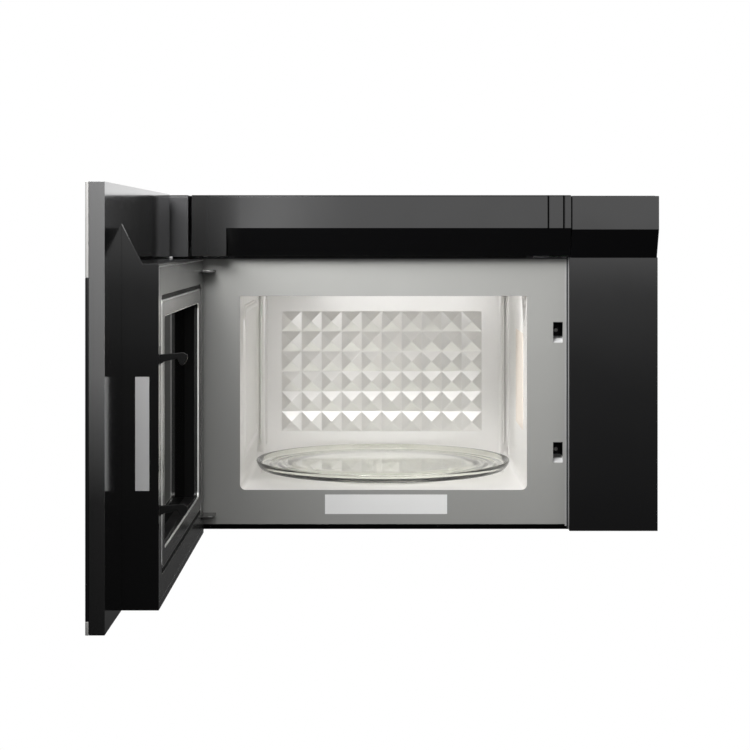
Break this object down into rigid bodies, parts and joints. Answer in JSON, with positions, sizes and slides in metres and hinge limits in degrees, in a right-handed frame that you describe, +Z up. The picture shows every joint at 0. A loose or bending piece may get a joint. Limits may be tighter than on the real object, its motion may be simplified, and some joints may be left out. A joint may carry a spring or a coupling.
{
  "type": "over the range microwave",
  "caption": "Wall-hung microwave oven with a hood vent, a full-width side-hinged door swung open, a glass turntable and a blank black column beside the cavity.",
  "frame": {"origin": "centre of the rear face that lies on the wall", "axes": "+X to the viewer's right, +Y into the wall, +Z up"},
  "size_m": [0.6223, 1.006, 0.4219],
  "materials": {
    "case_paint": "satin black paint",
    "zinc": "bare zinc-coated sheet",
    "face_paint": "grey enamel paint, satin",
    "cavity_enamel": "pale warm enamel, semi-gloss",
    "nose_plastic": "gloss black",
    "door_plastic": "gloss black",
    "choke_plastic": "matt black",
    "latch_plastic": "matt black",
    "seal_steel": "satin grey steel",
    "stainless": "brushed stainless",
    "black_glass": "black-backed tempered glass",
    "dark_pane": "dark glossy pane",
    "screen": "black perforated screen",
    "clear_glass": "clear tempered glass",
    "lens": "frosted lens",
    "mica": "mica sheet",
    "roller_plastic": "pale heat-proof plastic",
    "motor_metal": "plain metal",
    "copper_steel": "laminations and winding",
    "board": "circuit board",
    "filter_mesh": "aluminium mesh",
    "charcoal": "charcoal granules in a frame",
    "label_paper": "blank pale sticker",
    "rubber": "grommet rubber",
    "lamp_glass": "lamp bulbs and holders",
    "spring_steel": "spring wire"
  },
  "bodies": {
    "chassis": {"wall_bracket": "zinc", "rear_plate": "zinc", "case_wrap": "case_paint", "base_plate": "case_paint", "inner_front_panel": "case_paint", "oven_front_frame": "face_paint", "frame_label": "label_paper", "hinge_plates": "zinc", "vent_top_band": "nose_plastic", "vent_end_cap": "nose_plastic", "column_cover": "nose_plastic", "charcoal_filter": "charcoal", "exhaust_cover": "case_paint", "cord_grommet": "rubber", "case_fasteners": "zinc", "cavity_liner": "cavity_enamel", "cavity_back_panel": "cavity_enamel", "waveguide_cover": "mica", "waveguide": "zinc", "magnetron": "motor_metal", "hv_transformer": "copper_steel", "hv_capacitor": "motor_metal", "circuit_boards": "board", "fan_housing": "choke_plastic", "fan_motor": "motor_metal", "blower_scrolls": "zinc", "blower_motor": "motor_metal", "turntable_motor": "motor_metal", "lamps": "lamp_glass", "thermal_cutouts": "motor_metal", "latch_board": "latch_plastic"},
    "door": {"door_panel": "door_plastic", "door_glass": "black_glass", "door_trims": "stainless", "door_box": "door_plastic", "door_seal_plate": "seal_steel", "door_window_frame": "seal_steel", "door_choke": "case_paint", "door_choke_cover": "choke_plastic", "door_window_pane": "dark_pane", "door_screen": "screen", "hinge_bushes": "latch_plastic", "touch_board": "board", "door_sticker": "label_paper", "latch_spring": "spring_steel"},
    "latch": {"latch_hooks": "latch_plastic"},
    "turntable_drive": {"turntable_coupler": "roller_plastic"},
    "tray": {"glass_tray": "clear_glass"},
    "roller_carrier": {"roller_ring": "roller_plastic"},
    "roller_1": {"roller_wheel_1": "roller_plastic"},
    "roller_2": {"roller_wheel_2": "roller_plastic"},
    "roller_3": {"roller_wheel_3": "roller_plastic"},
    "fan": {"fan_blade": "choke_plastic"},
    "blower": {"blower_wheels": "choke_plastic"},
    "filter_left": {"grease_filter_left": "filter_mesh"},
    "filter_right": {"grease_filter_right": "filter_mesh"},
    "lamp_flap": {"lamp_cover": "case_paint", "lamp_lens": "lens"},
    "plunger_upper": {"interlock_plunger_upper": "roller_plastic"},
    "plunger_lower": {"interlock_plunger_lower": "roller_plastic"}
  },
  "joints": [
    {"name": "door_hinge", "type": "hinge", "parent": "chassis", "child": "door", "pos_m": [-0.27875, -0.422, 0], "axis": [0, 0, 1], "range_deg": [0, 90]},
    {"name": "latch_slide", "type": "slide", "parent": "door", "child": "latch", "axis": [0, 0, 1], "range_m": [0, 0.004], "stiffness_N_per_m": 400, "springref_m": -0.005, "deforming": ["latch_spring"]},
    {"name": "turntable_spin", "type": "hinge", "parent": "chassis", "child": "turntable_drive", "pos_m": [-0.038, -0.21, -0.1664], "axis": [0, 0, 1], "continuous": true},
    {"name": "tray_lift", "type": "slide", "parent": "turntable_drive", "child": "tray", "axis": [0, 0, 1], "range_m": [0, 0.06]},
    {"name": "roller_ring_spin", "type": "hinge", "parent": "chassis", "child": "roller_carrier", "pos_m": [-0.038, -0.21, -0.15925], "axis": [0, 0, 1], "continuous": true},
    {"name": "roller_1_spin", "type": "hinge", "parent": "roller_carrier", "child": "roller_1", "pos_m": [-0.038, -0.102, -0.15925], "axis": [0, 1, 0], "continuous": true},
    {"name": "roller_2_spin", "type": "hinge", "parent": "roller_carrier", "child": "roller_2", "pos_m": [-0.13153, -0.264, -0.15925], "axis": [-0.866, -0.5, 0], "continuous": true},
    {"name": "roller_3_spin", "type": "hinge", "parent": "roller_carrier", "child": "roller_3", "pos_m": [0.05553, -0.264, -0.15925], "axis": [0.866, -0.5, 0], "continuous": true},
    {"name": "fan_spin", "type": "hinge", "parent": "chassis", "child": "fan", "pos_m": [0.2228, -0.2005, 0.0176], "axis": [0, 1, 0], "continuous": true},
    {"name": "blower_spin", "type": "hinge", "parent": "chassis", "child": "blower", "pos_m": [-0.038, -0.105, 0.1465], "axis": [1, 0, 0], "continuous": true},
    {"name": "filter_left_slide", "type": "slide", "parent": "chassis", "child": "filter_left", "axis": [-1, 0, 0], "range_m": [0, 0.01]},
    {"name": "filter_right_slide", "type": "slide", "parent": "chassis", "child": "filter_right", "axis": [1, 0, 0], "range_m": [0, 0.01]},
    {"name": "lamp_flap_hinge", "type": "hinge", "parent": "chassis", "child": "lamp_flap", "pos_m": [-0.038, -0.34, -0.205], "axis": [1, 0, 0], "range_deg": [0, 75]},
    {"name": "plunger_upper_slide", "type": "slide", "parent": "chassis", "child": "plunger_upper", "axis": [0, 1, 0], "range_m": [0, 0.0015], "stiffness_N_per_m": 200, "springref_m": -0.003},
    {"name": "plunger_lower_slide", "type": "slide", "parent": "chassis", "child": "plunger_lower", "axis": [0, 1, 0], "range_m": [0, 0.0015], "stiffness_N_per_m": 200, "springref_m": -0.003}
  ],
  "couplings": [
    {"joint": "roller_ring_spin", "follows": "turntable_spin", "ratio": 0.5},
    {"joint": "roller_1_spin", "follows": "turntable_spin", "ratio": -7.7143},
    {"joint": "roller_2_spin", "follows": "turntable_spin", "ratio": -7.7143},
    {"joint": "roller_3_spin", "follows": "turntable_spin", "ratio": -7.7143}
  ]
}
